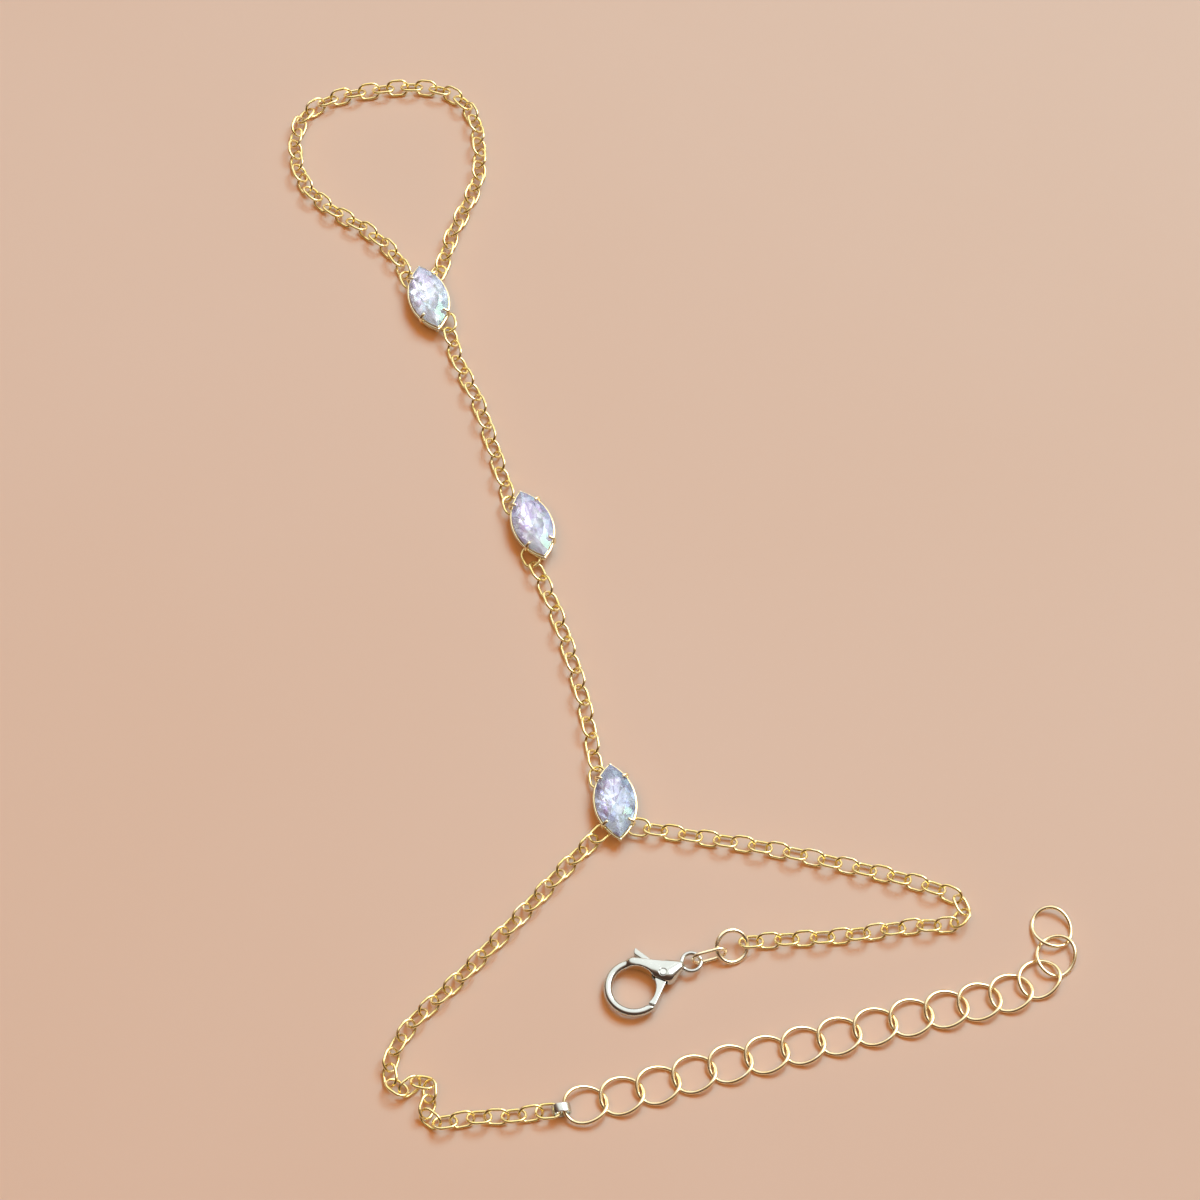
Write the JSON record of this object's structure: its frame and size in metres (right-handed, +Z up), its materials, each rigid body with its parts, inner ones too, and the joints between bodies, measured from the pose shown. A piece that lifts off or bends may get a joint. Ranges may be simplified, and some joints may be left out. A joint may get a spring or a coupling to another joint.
{
  "type": "hand chain bracelet",
  "caption": "Fine cable chain hand bracelet with a finger loop, marquise cut stones in open claw settings, trigger clasp and curb link extender.",
  "frame": {"origin": "middle of the laid out bracelet, on the table under it", "axes": "+Z up off the table, +Y from the wrist chains towards the finger loop, +X towards the extender's free end"},
  "size_m": [0.081, 0.1228, 0.0026],
  "materials": {
    "small_chain": "bright yellow gold plate on fine round wire",
    "extender": "polished yellow gold plate",
    "ring_metal": "polished pale gold plate",
    "band_metal": "polished silver plate",
    "clasp_metal": "polished silver plate over cast brass",
    "lever_metal": "polished silver plate",
    "setting_metal": "polished yellow gold plate, soldered",
    "stone_pale": "cut glass with a pale iridescent coat",
    "stone_aqua": "cut glass with an aqua and lilac iridescent coat",
    "stone_lilac": "cut glass with a lilac and aqua iridescent coat"
  },
  "bodies": {
    "root": {"finger_chain": "small_chain", "upper_chain": "small_chain", "lower_chain": "small_chain", "wrist_chain_left": "small_chain", "wrist_chain_right": "small_chain", "extender_link_01": "extender", "extender_link_02": "extender", "extender_link_03": "extender", "extender_link_04": "extender", "extender_link_05": "extender", "extender_link_06": "extender", "extender_link_07": "extender", "extender_link_08": "extender", "extender_link_09": "extender", "extender_link_10": "extender", "extender_link_11": "extender", "extender_link_12": "extender", "extender_link_13": "extender", "extender_link_14": "extender", "extender_link_15": "extender", "extender_link_16": "extender", "band_ring": "band_metal", "jump_ring": "ring_metal", "connector_link": "ring_metal", "clasp_body": "clasp_metal", "clasp_rivet": "clasp_metal", "setting_finger": "setting_metal", "setting_middle": "setting_metal", "setting_wrist": "setting_metal", "stone_finger": "stone_pale", "stone_middle": "stone_aqua", "stone_wrist": "stone_lilac"},
    "clasp_lever": {"clasp_lever": "lever_metal"}
  },
  "joints": [
    {"name": "clasp_lever_hinge", "type": "hinge", "parent": "root", "child": "clasp_lever", "pos_m": [-0.00008, -0.04545, 0.001], "axis": [0, 0, -1], "range_deg": [0, 28], "stiffness_Nm_per_rad": 0.0001, "springref_deg": -5.73}
  ]
}
